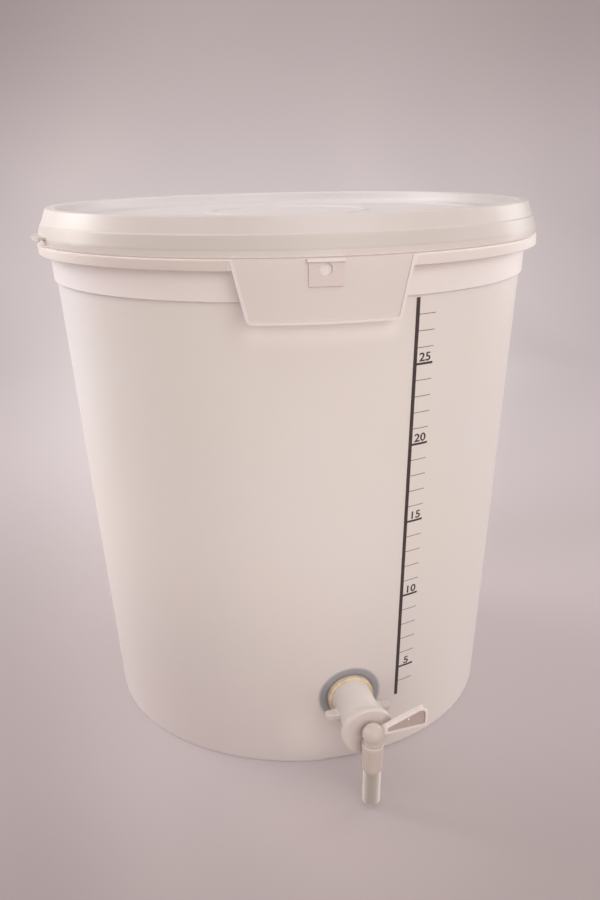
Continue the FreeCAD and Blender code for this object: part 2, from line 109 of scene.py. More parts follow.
@dataclass(frozen=True)
class TapPlace:
    """Where the tap's hole is in the wall."""

    azimuth: float = 6.9
    height: float = 58.8 * MM

    def out(self) -> Vector:
        """Gives the direction out of the wall, level."""
        turn = math.radians(self.azimuth)
        return Vector((math.sin(turn), -math.cos(turn), 0.0))

    def across(self) -> Vector:
        """Gives the level direction along the wall, to the right."""
        turn = math.radians(self.azimuth)
        return Vector((math.cos(turn), math.sin(turn), 0.0))

    def along_out(self) -> Vector:
        """Gives the tap's own direction out, square to the sloping wall."""
        return (self.out() - Vector((0.0, 0.0, SHAPE.slope))).normalized()

    def along_up(self) -> Vector:
        """Gives the tap's own direction up, along the sloping wall."""
        return self.across().cross(-self.along_out()).normalized()

    def centre(self) -> Vector:
        """Gives the middle of the tap's hole on the wall."""
        return self.out() * SHAPE.radius(self.height) + Vector((0.0, 0.0, self.height))


@dataclass(frozen=True)
class PanelPlace:
    """Sizes of the grip panels that their finish follows, in metres."""

    low: float = 337.5 * MM
    high: float = 375.0 * MM
    low_half: float = 46.7 * MM
    top_half: float = 55.5 * MM
    back: float = 177.0 * MM
    face: float = 187.4 * MM
    bead: float = 2.2 * MM
    boss_half: float = 11.45 * MM
    boss_low: float = 356.5 * MM
    ledge: float = 373.2 * MM
    socket: float = 369.2 * MM
    socket_radius: float = 3.8 * MM

    def flare(self) -> float:
        """Gives how fast the panel widens with height."""
        return (self.top_half - self.low_half) / (self.high - self.low)


SHAPE = BucketShape()
TAP = TapPlace()
PANEL = PanelPlace()


# Shader graph


class Signal:
    """A socket's output, with arithmetic that adds Math nodes."""

    def __init__(self, graph: "Graph", socket: bpy.types.NodeSocket) -> None:
        """Keeps the graph and the socket."""
        self.graph = graph
        self.socket = socket

    def __add__(self, other: "Value") -> "Signal":
        """Adds a value."""
        return self.graph.maths("ADD", self, other)

    def __radd__(self, other: "Value") -> "Signal":
        """Adds to a value."""
        return self.graph.maths("ADD", other, self)

    def __sub__(self, other: "Value") -> "Signal":
        """Takes a value away."""
        return self.graph.maths("SUBTRACT", self, other)

    def __rsub__(self, other: "Value") -> "Signal":
        """Takes this away from a value."""
        return self.graph.maths("SUBTRACT", other, self)

    def __mul__(self, other: "Value") -> "Signal":
        """Multiplies by a value."""
        return self.graph.maths("MULTIPLY", self, other)

    def __rmul__(self, other: "Value") -> "Signal":
        """Multiplies a value."""
        return self.graph.maths("MULTIPLY", other, self)

    def __truediv__(self, other: "Value") -> "Signal":
        """Divides by a value."""
        return self.graph.maths("DIVIDE", self, other)

    def __rtruediv__(self, other: "Value") -> "Signal":
        """Divides a value."""
        return self.graph.maths("DIVIDE", other, self)

    def __pow__(self, other: "Value") -> "Signal":
        """Raises to a power."""
        return self.graph.maths("POWER", self, other)

    def absolute(self) -> "Signal":
        """Gives the value without its sign."""
        return self.graph.maths("ABSOLUTE", self)

    def band(self, low: float, high: float) -> "Signal":
        """Smooth step from 0 at low to 1 at high.

        Args:
            low: Where the step starts.
            high: Where the step ends; below low for a falling step.

        Returns:
            The step as a signal from 0 to 1.
        """
        node = self.graph.node(
            "ShaderNodeMapRange",
            {"interpolation_type": "SMOOTHSTEP"},
            {"Value": self, "From Min": low, "From Max": high},
        )
        return Signal(self.graph, node.outputs["Result"])

    def past(self, edge: float, soft: float) -> "Signal":
        """Smooth step from 0 to 1 at an edge.

        Args:
            edge: The middle of the step.
            soft: Half its width; negative for a falling step.

        Returns:
            The step as a signal from 0 to 1.
        """
        return self.band(edge - soft, edge + soft)


Value = Union[float, Signal]


def distance(first: Signal, second: Signal) -> Signal:
    """Gives the distance that two lengths at right angles span."""
    return (first * first + second * second) ** 0.5


class Graph:
    """A material's nodes."""

    def __init__(self, name: str) -> None:
        """Makes an empty material.

        Args:
            name: The material's name.
        """
        self.material = bpy.data.materials.new(name)
        self.material.use_nodes = True
        self.tree = self.material.node_tree
        self.tree.nodes.clear()
        self.object_place = self.node("ShaderNodeTexCoord", {}, {}).outputs["Object"]

    def node(
        self, kind: str, settings: Mapping[str, Any], sockets: Mapping[Union[str, int], Any]
    ) -> bpy.types.ShaderNode:
        """Adds one node.

        Args:
            kind: The node's type.
            settings: Its settings.
            sockets: Values, sockets or signals by input name or number.

        Returns:
            The new node.
        """
        node = self.tree.nodes.new(kind)
        for key, value in settings.items():
            setattr(node, key, value)
        for key, value in sockets.items():
            self._feed(node.inputs[key], value)
        return node

    def _feed(self, socket: bpy.types.NodeSocket, value: Any) -> None:
        """Links or sets one input.

        Args:
            socket: The input.
            value: Signal, socket, colour or number for it.
        """
        if isinstance(value, Signal):
            self.tree.links.new(value.socket, socket)
        elif isinstance(value, bpy.types.NodeSocket):
            self.tree.links.new(value, socket)
        elif socket.type == "RGBA" and len(value) == 3:
            socket.default_value = (*value, 1.0)
        else:
            socket.default_value = value

    def maths(self, operation: str, first: Value, second: Value = 0.0) -> Signal:
        """Adds a Math node.

        Args:
            operation: The node's operation.
            first: First value.
            second: Second value.

        Returns:
            The result.
        """
        node = self.node("ShaderNodeMath", {"operation": operation}, {0: first, 1: second})
        return Signal(self, node.outputs[0])

    def part(self, axis: Axis) -> Signal:
        """Gives one coordinate of the place on the object, in metres."""
        node = self.node("ShaderNodeSeparateXYZ", {}, {0: self.object_place})
        return Signal(self, node.outputs[axis.value])

    def along(self, direction: Vector, origin: Vector = Vector()) -> Signal:
        """Distance of the place along a direction.

        Args:
            direction: The direction.
            origin: Where the distance starts.

        Returns:
            The distance in metres.
        """
        sockets = {0: self.object_place, 1: tuple(direction)}
        node = self.node("ShaderNodeVectorMath", {"operation": "DOT_PRODUCT"}, sockets)
        return Signal(self, node.outputs["Value"]) - direction.dot(origin)

    def radius(self) -> Signal:
        """Gives the distance from the part's upright axis."""
        return distance(self.part(Axis.X), self.part(Axis.Y))

    def noise(self, scale: float, detail: float = 2.0, stretch: Triple = (1.0, 1.0, 1.0)) -> Signal:
        """Noise on the object.

        Args:
            scale: Noise cells in a metre.
            detail: How many finer layers it has.
            stretch: Scale along each axis, for streaks.

        Returns:
            The noise, about 0.5 on average.
        """
        place = self.node("ShaderNodeMapping", {}, {"Vector": self.object_place, "Scale": stretch})
        node = self.node(
            "ShaderNodeTexNoise",
            {"noise_dimensions": "3D"},
            {"Vector": place.outputs[0], "Scale": scale, "Detail": detail, "Roughness": 0.55},
        )
        return Signal(self, node.outputs["Fac"])

    def specks(self, scale: float, low: float, high: float) -> Signal:
        """Sparse round specks.

        Args:
            scale: Cells in a metre.
            low: Distance from a cell's point inside which a speck is full.
            high: Distance at which it ends.

        Returns:
            1 in a speck and 0 elsewhere.
        """
        sockets = {"Vector": self.object_place, "Scale": scale}
        node = self.node("ShaderNodeTexVoronoi", {"feature": "F1"}, sockets)
        return Signal(self, node.outputs["Distance"]).band(high, low)

    def mix(self, factor: Value, first: Any, second: Any) -> bpy.types.NodeSocket:
        """Mixes two colours.

        Args:
            factor: 0 for the first and 1 for the second.
            first: Colour or socket.
            second: Colour or socket.

        Returns:
            The mixed colour's socket.
        """
        settings = {"data_type": "RGBA", "clamp_factor": True}
        node = self.node("ShaderNodeMix", settings, {0: factor, 6: first, 7: second})
        return node.outputs[2]

    def layers(self, tone: Any, *coats: tuple[Value, Any]) -> bpy.types.NodeSocket:
        """Lays colours over a tone, one after another.

        Args:
            tone: Colour or socket underneath.
            *coats: How much of each colour covers, from 0 to 1, and that colour.

        Returns:
            The covered tone's socket.
        """
        for cover, colour in coats:
            tone = self.mix(cover, tone, colour)
        return tone

    def bump(self, height: Signal, depth: float, strength: float = 1.0) -> bpy.types.NodeSocket:
        """Turns a height into a normal.

        Args:
            height: Height from 0 to 1.
            depth: What 1 stands for, in metres.
            strength: How much of it shows.

        Returns:
            The normal's socket.
        """
        node = self.node("ShaderNodeBump", {}, {"Height": height, "Distance": depth, "Strength": strength})
        return node.outputs["Normal"]

    def surface(self, shader: bpy.types.NodeSocket) -> bpy.types.Material:
        """Ends the material in a shader and gives it back."""
        self.node("ShaderNodeOutputMaterial", {}, {"Surface": shader})
        return self.material

    def blend(
        self, share: Value, first: bpy.types.ShaderNode, second: bpy.types.ShaderNode
    ) -> bpy.types.Material:
        """Ends the material in two shaders.

        Args:
            share: How much of the second shows, from 0 to 1.
            first: One shader.
            second: The other shader.

        Returns:
            The material.
        """
        both = self.node("ShaderNodeMixShader", {}, {0: share, 1: first.outputs[0], 2: second.outputs[0]})
        return self.surface(both.outputs[0])


# Finishes


@dataclass(frozen=True)
class NaturalPlastic:
    """Milky moulded polypropylene of the bucket, with painted light and shade, and the inner washer's shade
    seen through its wall painted in.
    """

    tone: Colour = srgb(238, 229, 221)
    cool_tone: Colour = srgb(238, 231, 228)
    speck_tone: Colour = srgb(196, 182, 172)
    collar_tone: Colour = srgb(253, 243, 239)
    limb_tone: Colour = srgb(247, 245, 247)
    edge_tone: Colour = srgb(232, 220, 213)
    edge_warm_tone: Colour = srgb(216, 200, 191)
    panel_tone: Colour = srgb(227, 217, 209)
    bead_tone: Colour = srgb(240, 230, 227)
    boss_tone: Colour = srgb(226, 212, 205)
    bright_tone: Colour = srgb(240, 231, 227)
    shade_tone: Colour = srgb(241, 232, 225)
    foot_tone: Colour = srgb(214, 203, 199)
    washer_tone: Colour = srgb(145, 141, 149)
    washer_dark: Colour = srgb(110, 106, 110)
    sheen_tint: Colour = srgb(244, 246, 255)
    through_tone: Colour = srgb(244, 234, 230)
    gap_glow: Colour = srgb(152, 145, 142)
    under_glow: Colour = srgb(60, 57, 55)
    panel_glow: Colour = srgb(102, 98, 95)
    foot_glow: Colour = srgb(82, 77, 74)
    washer_radius: float = 23.2 * MM
    roughness: float = 0.36
    sheen: float = 0.22
    through_share: float = 0.14
    wave_depth: float = 0.35 * MM

    def build(self) -> bpy.types.Material:
        """Makes the material.

        Returns:
            The material.
        """
        graph = Graph("natural_plastic")
        # painted shade: the inner washer seen through the milky wall round the tap
        washer = self._washer(graph)
        streak = graph.noise(14.0, 2.0, (1.0, 1.0, 0.12))
        grain = graph.noise(900.0, 2.0)
        waves = graph.noise(22.0, 1.0, (1.0, 1.0, 0.3))
        normal = graph.bump(waves * 0.85 + grain * 0.15, self.wave_depth, 0.5)
        plastic = graph.node(
            "ShaderNodeBsdfPrincipled",
            {},
            {
                "Base Color": self._tones(graph, washer),
                "Roughness": self.roughness + streak * 0.12 + grain * 0.06,
                "Normal": normal,
                "IOR": 1.49,
                "Specular IOR Level": 0.4,
                "Sheen Weight": self.sheen,
                "Sheen Roughness": 0.6,
                "Sheen Tint": self.sheen_tint,
                "Emission Color": self._passed_light(graph),
                "Emission Strength": 1.0,
            },
        )
        sockets = {"Color": self.through_tone, "Normal": normal}
        through = graph.node("ShaderNodeBsdfTranslucent", {}, sockets)
        return graph.blend(self.through_share - washer * 0.1, plastic, through)

    def _tones(self, graph: Graph, washer: Signal) -> bpy.types.NodeSocket:
        """Shades of the whole bucket, with painted shade at the foot and round the tap's washer.

        Args:
            graph: The material's nodes.
            washer: How much of the inner washer's painted shade shows.

        Returns:
            The tone at each place.
        """
        cloud = graph.noise(9.0, 3.0)
        tone = graph.mix(cloud.band(0.35, 0.7) * 0.5, self.tone, self.cool_tone)
        # painted shade: darker towards the foot, most from the left to the middle
        foot = graph.part(Axis.Z).band(0.2, 0.0) * (graph.part(Axis.X).band(0.12, 0.02) * 0.75 + 0.25)
        return graph.layers(
            self._panel_tones(graph, self._flange_tones(graph, tone)),
            (foot, self.foot_tone),
            (washer, self.washer_tone),
            (washer * self._washer_edge(graph), self.washer_dark),
            (graph.specks(70.0, 0.02, 0.05) * 0.25, self.speck_tone),
        )

    def _flange_tones(self, graph: Graph, tone: bpy.types.NodeSocket) -> bpy.types.NodeSocket:
        """Painted light on the collar that lifts the flange's shadow, a painted highlight on the wall's far
        left limb, and a flange that is warmer left of the middle.

        Args:
            graph: The material's nodes.
            tone: The wall's tone.

        Returns:
            The tone with those shades.
        """
        height, across = graph.part(Axis.Z), graph.part(Axis.X)
        wall = 1.0 - self._outside(graph)
        collar = height.band(SHAPE.collar_height - 1.5 * MM, SHAPE.collar_height + 1.0 * MM)
        aside = across.absolute().band(0.055, 0.14) * 0.45 + 0.45
        limb = across.band(-0.13, -0.16) * height.band(0.2, 0.3) * wall
        warm = across.band(0.06, -0.06) * across.band(-0.17, -0.12)
        flange = height.past(SHAPE.flange_low, 0.5 * MM) * (1.0 - self._panel(graph))
        return graph.layers(
            tone,
            # painted light: the collar is lightened under the flange, more towards the sides
            (collar * wall * aside, self.collar_tone),
            # painted highlight: the wall's far left limb is lightened as if lit from behind on the left
            (limb * 0.5, self.limb_tone),
            (flange * 0.7, graph.mix(warm, self.edge_tone, self.edge_warm_tone)),
        )

    def _panel_tones(self, graph: Graph, tone: bpy.types.NodeSocket) -> bpy.types.NodeSocket:
        """Grip panels with their bead, boss, ledge and socket, with a painted highlight on the bead and the
        ledge, painted light in the socket, and painted light on the wall just under them that lifts its
        shade.

        Args:
            graph: The material's nodes.
            tone: The tone of wall and flange.

        Returns:
            The tone with those shades.
        """
        height = graph.part(Axis.Z)
        side = graph.part(Axis.X).absolute()
        panel = self._panel(graph)
        border = side - (height - PANEL.low) * PANEL.flare() - PANEL.low_half
        side_beads = border.past(-PANEL.bead, 0.3 * MM)
        low_bead = height.past(PANEL.low + 1.6 * MM, -0.4 * MM)
        bead = graph.maths("MAXIMUM", side_beads, low_bead) * panel
        proud = graph.radius().past(PANEL.face + 0.5 * MM, 0.2 * MM)
        boss = proud * side.past(PANEL.boss_half, -0.15 * MM) * height.past(PANEL.boss_low, 0.5 * MM)
        socket = distance(side, height - PANEL.socket).past(PANEL.socket_radius, -0.2 * MM) * panel
        return graph.layers(
            tone,
            (panel, self.panel_tone),
            # painted highlight along the panel's bead
            (bead * 0.9, self.bead_tone),
            (boss, self.boss_tone),
            # painted highlight on the boss's ledge and painted light in the socket
            (boss * height.past(PANEL.ledge, 0.2 * MM), self.bright_tone),
            (socket, self.bright_tone),
            # painted light on the wall just under the panel, lifting its shade
            (self._under_panel(graph), self.shade_tone),
        )

    def _outside(self, graph: Graph) -> Signal:
        """Gives 1 on flange and panels and 0 on the wall."""
        return graph.radius().past(SHAPE.flange_root, 0.7 * MM)

    def _panel(self, graph: Graph) -> Signal:
        """Where the grip panels are.

        Args:
            graph: The material's nodes.

        Returns:
            1 on the panels and 0 elsewhere.
        """
        side = graph.part(Axis.X).absolute().past(PANEL.top_half + 0.7 * MM, -0.4 * MM)
        depth = graph.part(Axis.Y).absolute().past(PANEL.back, 1.0 * MM)
        return self._outside(graph) * side * depth

    def _under_panel(self, graph: Graph) -> Signal:
        """Where the wall lies just under a grip panel.

        Args:
            graph: The material's nodes.

        Returns:
            1 there and 0 elsewhere.
        """
        height = graph.part(Axis.Z) - PANEL.low
        aside = graph.part(Axis.X).absolute().band(54.0 * MM, 40.0 * MM)
        depth = graph.part(Axis.Y).absolute().band(0.12, 0.15)
        below = height.band(-27.5 * MM, -4.5 * MM) * height.band(11.5 * MM, 6.5 * MM)
        return (1.0 - self._outside(graph)) * aside * depth * below

    def _passed_light(self, graph: Graph) -> bpy.types.NodeSocket:
        """Painted light that stands in for light the milky plastic passes on into gaps and shaded places.

        Args:
            graph: The material's nodes.

        Returns:
            The light's colour.
        """
        height = graph.part(Axis.Z) - PANEL.low
        under_panel = self._under_panel(graph) * height.band(-19.5 * MM, -5.5 * MM)
        # painted light: emission in the gap under the lid, under the flange, under the panels and beside the
        # tap
        return graph.layers(
            DARK,
            (self._under_lid(graph), self.gap_glow),
            (self._under_flange(graph), self.under_glow),
            (under_panel, self.panel_glow),
            (self._beside_tap(graph), self.foot_glow),
        )

    def _under_lid(self, graph: Graph) -> Signal:
        """Where the narrow gap under the lid's skirt is.

        Args:
            graph: The material's nodes.

        Returns:
            1 in the gap and 0 elsewhere.
        """
        height = graph.part(Axis.Z) - SHAPE.flange_high
        gap = height.band(-0.3 * MM, -0.05 * MM) * height.band(2.6 * MM, 1.2 * MM)
        return gap * graph.radius().past(SHAPE.gap_radius, -0.3 * MM)

    def _under_flange(self, graph: Graph) -> Signal:
        """Gives 1 on the wall just under the flange and 0 elsewhere."""
        height = graph.part(Axis.Z) - SHAPE.flange_low
        return height.band(-14.0 * MM, -1.0 * MM) * height.band(0.5 * MM, 0.0) * (1.0 - self._outside(graph))

    def _beside_tap(self, graph: Graph) -> Signal:
        """Where the wall lies low on the left of the tap, in the tap's shadow that painted light lifts.

        Args:
            graph: The material's nodes.

        Returns:
            1 there and 0 further away.
        """
        side = graph.along(TAP.across(), TAP.centre()) + 20.0 * MM
        rise = graph.part(Axis.Z) - TAP.height + 30.0 * MM
        return distance(side, rise).band(40.0 * MM, 8.0 * MM) * self._front(graph)

    def _front(self, graph: Graph) -> Signal:
        """Gives 1 on the bucket's front and 0 on its back."""
        return graph.along(TAP.out()).band(0.05, 0.1)

    def _washer(self, graph: Graph) -> Signal:
        """Gives how much painted shade of the inner washer shows through the wall round the tap, from 0 to
        1.
        """
        soft = self._reach(graph).band(self.washer_radius + 1.4 * MM, self.washer_radius - 1.6 * MM)
        return soft * self._front(graph) * 0.88

    def _reach(self, graph: Graph) -> Signal:
        """Gives the distance from the tap's axis."""
        return distance(graph.along(TAP.across(), TAP.centre()), graph.part(Axis.Z) - TAP.height)

    def _washer_edge(self, graph: Graph) -> Signal:
        """Darker inner edge of the washer's shade, deepest low on the left.

        Args:
            graph: The material's nodes.

        Returns:
            How dark it is, from 0 to 1.
        """
        side = graph.along(TAP.across(), TAP.centre())
        rise = graph.part(Axis.Z) - TAP.height
        low_left = (side + rise).band(0.0, -22.0 * MM)
        return self._reach(graph).band(20.0 * MM, 17.6 * MM) * 0.6 + low_left * 0.4 + 0.12


@dataclass(frozen=True)
class MouldedPlastic:
    """White mouldings that pass a little light: lid, tap and backnut."""

    name: str
    tone: Colour
    warm_tone: Colour
    through_tone: Colour
    through_share: float
    roughness: float = 0.38
    grain_depth: float = 0.05 * MM
    sheen: float = 0.08
    speck_tone: Colour = srgb(200, 188, 180)

    def tint(self, graph: Graph, tone: bpy.types.NodeSocket) -> bpy.types.NodeSocket:
        """Gives the tone with the piece's own shades."""
        return tone

    def light(self, graph: Graph) -> Any:
        """Gives the colour of painted light in narrow gaps, standing in for light passed on there."""
        return DARK

    def dullness(self, graph: Graph) -> Value:
        """Gives the extra roughness of some places."""
        return 0.0

    def build(self) -> bpy.types.Material:
        """Makes the material.

        Returns:
            The material.
        """
        graph = Graph(self.name)
        cloud = graph.noise(24.0, 3.0)
        grain = graph.noise(1400.0, 2.0)
        scuff = graph.noise(60.0, 4.0, (1.0, 1.0, 0.25))
        speck = graph.specks(110.0, 0.015, 0.045)
        tone = graph.mix(cloud.band(0.35, 0.7) * 0.6, self.tone, self.warm_tone)
        tone = graph.mix(speck * 0.2, tone, self.speck_tone)
        normal = graph.bump(cloud * 0.5 + grain * 0.5, self.grain_depth, 0.5)
        plastic = graph.node(
            "ShaderNodeBsdfPrincipled",
            {},
            {
                "Base Color": self.tint(graph, tone),
                "Roughness": self.roughness + scuff.band(0.5, 0.75) * 0.12 + self.dullness(graph),
                "Normal": normal,
                "IOR": 1.5,
                "Specular IOR Level": 0.45,
                "Sheen Weight": self.sheen,
                "Emission Color": self.light(graph),
                "Emission Strength": 1.0,
            },
        )
        sockets = {"Color": self.through_tone, "Normal": normal}
        through = graph.node("ShaderNodeBsdfTranslucent", {}, sockets)
        return graph.blend(self.through_share, plastic, through)


@dataclass(frozen=True)
class LidPlastic(MouldedPlastic):
    """White moulding of the lid, with painted light in the gap under its skirt."""

    gap_glow: Colour = srgb(152, 145, 142)
    dish_tone: Colour = srgb(225, 219, 219)
    skirt_tone: Colour = srgb(206, 195, 187)
    lip_tone: Colour = srgb(222, 212, 205)
    end_tone: Colour = srgb(172, 164, 160)
    dish_radius: float = 174.0 * MM
    skirt_radius: float = 183.75 * MM
    step_height: float = 389.0 * MM
    lip_height: float = 379.6 * MM

    def tint(self, graph: Graph, tone: bpy.types.NodeSocket) -> bpy.types.NodeSocket:
        """Cooler dish, warmer skirt, a painted highlight on the lip and painted shade on the ends.

        Args:
            graph: The material's nodes.
            tone: The plastic's tone.

        Returns:
            The tone with those shades.
        """
        height, across = graph.part(Axis.Z), graph.part(Axis.X)
        dish = graph.radius().past(self.dish_radius, -2.0 * MM)
        outer = graph.radius().past(self.skirt_radius, 0.75 * MM)
        skirt = height.past(self.step_height, -1.0 * MM) * outer
        lip = height.past(self.lip_height, -0.4 * MM) * outer
        end_shade_share = across.band(-0.05, 0.05) * 0.6 + 0.2
        return graph.layers(
            tone,
            (dish * 0.85, self.dish_tone),
            (skirt * (0.85 - across.band(0.02, 0.12) * 0.55), self.skirt_tone),
            # painted highlight along the skirt's lower lip
            (lip, self.lip_tone),
            # painted shade on the lid's left and right ends, heavier on the right
            (self._ends(graph) * end_shade_share, self.end_tone),
        )

    def _ends(self, graph: Graph) -> Signal:
        """Gives how near a point lies to the lid's left or right end."""
        return graph.part(Axis.X).absolute().band(0.13, 0.18)

    def dullness(self, graph: Graph) -> Value:
        """Gives the extra roughness at the lid's left and right ends, which dulls the lamps' highlights
        there.
        """
        return self._ends(graph) * 0.3

    def light(self, graph: Graph) -> Any:
        """Painted light on the skirt's underside, standing in for light passed on by the milky plastic.

        Args:
            graph: The material's nodes.

        Returns:
            The light's colour.
        """
        low = (graph.part(Axis.Z) - SHAPE.flange_high).band(3.0 * MM, 1.4 * MM)
        inner = graph.radius().past(SHAPE.gap_radius - 0.45 * MM, -0.25 * MM)
        return graph.mix(low * inner, DARK, self.gap_glow)


@dataclass(frozen=True)
class TapPlastic(MouldedPlastic):
    """White moulding of the tap, with painted shade in the lever's recess, low on the barrel and down the
    spout, and painted highlights on the lever and the spout's edges.

    Its sizes lie along the tap's own directions, and those outwards count from the barrel's axis.
    """

    recess_tone: Colour = srgb(182, 164, 156)
    rim_tone: Colour = srgb(232, 221, 215)
    spout_tone: Colour = srgb(170, 160, 150)
    spout_edge_tone: Colour = srgb(236, 224, 217)
    barrel_tone: Colour = srgb(197, 182, 171)
    shank_tone: Colour = srgb(226, 216, 211)
    wing_tone: Colour = srgb(212, 200, 195)
    ball_tone: Colour = srgb(200, 185, 176)
    dot_tone: Colour = srgb(250, 246, 242)
    axis_out: float = 52.0 * MM
    shank_front: float = -16.5 * MM
    barrel_back: float = -8.25 * MM
    wing_start: float = 16.75 * MM
    spout_top: float = -24.0 * MM
    ball_half: float = 7.25 * MM
    recess_half: float = 1.5 * MM
    recess_start: float = 8.75 * MM
    recess_end: float = 37.0 * MM
    recess_low: tuple[float, float] = (0.0688, 6.05 * MM)
    recess_high: tuple[float, float] = (0.4269, 6.1 * MM)
    dot_side: float = 25.0 * MM
    dot_rise: float = 13.9 * MM
    dot_radius: float = 0.65 * MM

    def tint(self, graph: Graph, tone: bpy.types.NodeSocket) -> bpy.types.NodeSocket:
        """Adds the shades of shank, wings, barrel, spout and lever, with painted shade low on the barrel, in
        the spout and in the lever's recess, and painted highlights on the lever and the spout's edges.

        Args:
            graph: The material's nodes.
            tone: The plastic's tone.

        Returns:
            The tone with those shades.
        """
        out = graph.along(TAP.along_out(), TAP.centre()) - self.axis_out
        rise = graph.along(TAP.along_up(), TAP.centre())
        side = graph.along(TAP.across(), TAP.centre())
        ahead = out.past(self.barrel_back, 0.75 * MM)
        shank = out.past(self.shank_front, -1.5 * MM)
        wings = shank * side.absolute().past(self.wing_start, 0.75 * MM)
        # painted shade and highlight: the spout is darker where it faces the view and lighter at its edges
        facing = graph.node("ShaderNodeLayerWeight", {}, {"Blend": 0.5}).outputs["Facing"]
        spout = graph.mix(Signal(graph, facing).band(0.25, 0.75), self.spout_tone, self.spout_edge_tone)
        ball = ahead * rise.band(-1.5 * MM, -0.5 * MM) * side.past(self.ball_half, -0.25 * MM)
        lever = side.band(7.0 * MM, 9.0 * MM) * rise.band(1.0 * MM, 3.0 * MM) * ahead
        recess_shade = out.absolute().past(self.recess_half, -0.2 * MM) * self._in_rim(side, rise)
        dot = distance(side - self.dot_side, rise - self.dot_rise).past(self.dot_radius, -0.15 * MM)
        return graph.layers(
            tone,
            (shank, self.shank_tone),
            (wings, self.wing_tone),
            # painted shade: darker below the barrel's axis
            (ahead * rise.band(0.0, -6.0 * MM), self.barrel_tone),
            (ahead * rise.past(self.spout_top, -0.5 * MM), spout),
            (ball, self.ball_tone),
            # painted highlight on the lever and its rim
            (lever, self.rim_tone),
            # painted shade in the lever's recess
            (recess_shade, self.recess_tone),
            (dot, self.dot_tone),
        )

    def _in_rim(self, side: Signal, rise: Signal) -> Signal:
        """Where the lever's face lies inside its rim.

        Args:
            side: Distance to the right of the tap's axis.
            rise: Distance above it.

        Returns:
            1 inside the rim and 0 outside.
        """
        low = side * self.recess_low[0] + self.recess_low[1]
        high = side * self.recess_high[0] + self.recess_high[1]
        between = (rise - low).past(0.0, 0.2 * MM) * (high - rise).past(0.0, 0.2 * MM)
        return between * side.past(self.recess_start, 0.75 * MM) * side.past(self.recess_end, -0.2 * MM)


@dataclass(frozen=True)
class SealRubber:
    """Dull rubber of the seals."""

    name: str
    tone: Colour
    dark_tone: Colour

    def build(self) -> bpy.types.Material:
        """Makes the material.

        Returns:
            The material.
        """
        graph = Graph(self.name)
        cloud = graph.noise(160.0, 3.0)
        grain = graph.noise(2600.0, 2.0)
        tone = graph.mix(cloud.band(0.4, 0.7), self.tone, self.dark_tone)
        rubber = graph.node(
            "ShaderNodeBsdfPrincipled",
            {},
            {
                "Base Color": tone,
                "Roughness": 0.62 + grain * 0.2,
                "Normal": graph.bump(grain, 0.08 * MM, 0.6),
                "Specular IOR Level": 0.3,
            },
        )
        return graph.surface(rubber.outputs[0])


@dataclass(frozen=True)
class ScaleInk:
    """Screen-printed ink of the litre scale."""

    tone: Colour = srgb(62, 50, 50)
    thin_tone: Colour = srgb(98, 86, 83)

    def build(self) -> bpy.types.Material:
        """Makes the material.

        Returns:
            The material.
        """
        graph = Graph("scale_ink")
        patch = graph.noise(420.0, 4.0)
        tone = graph.mix(patch.band(0.52, 0.8) * 0.7, self.tone, self.thin_tone)
        ink = graph.node(
            "ShaderNodeBsdfPrincipled",
            {},
            {
                "Base Color": tone,
                "Roughness": 0.42 + patch * 0.2,
                "Normal": graph.bump(patch, 0.02 * MM, 0.5),
            },
        )
        return graph.surface(ink.outputs[0])


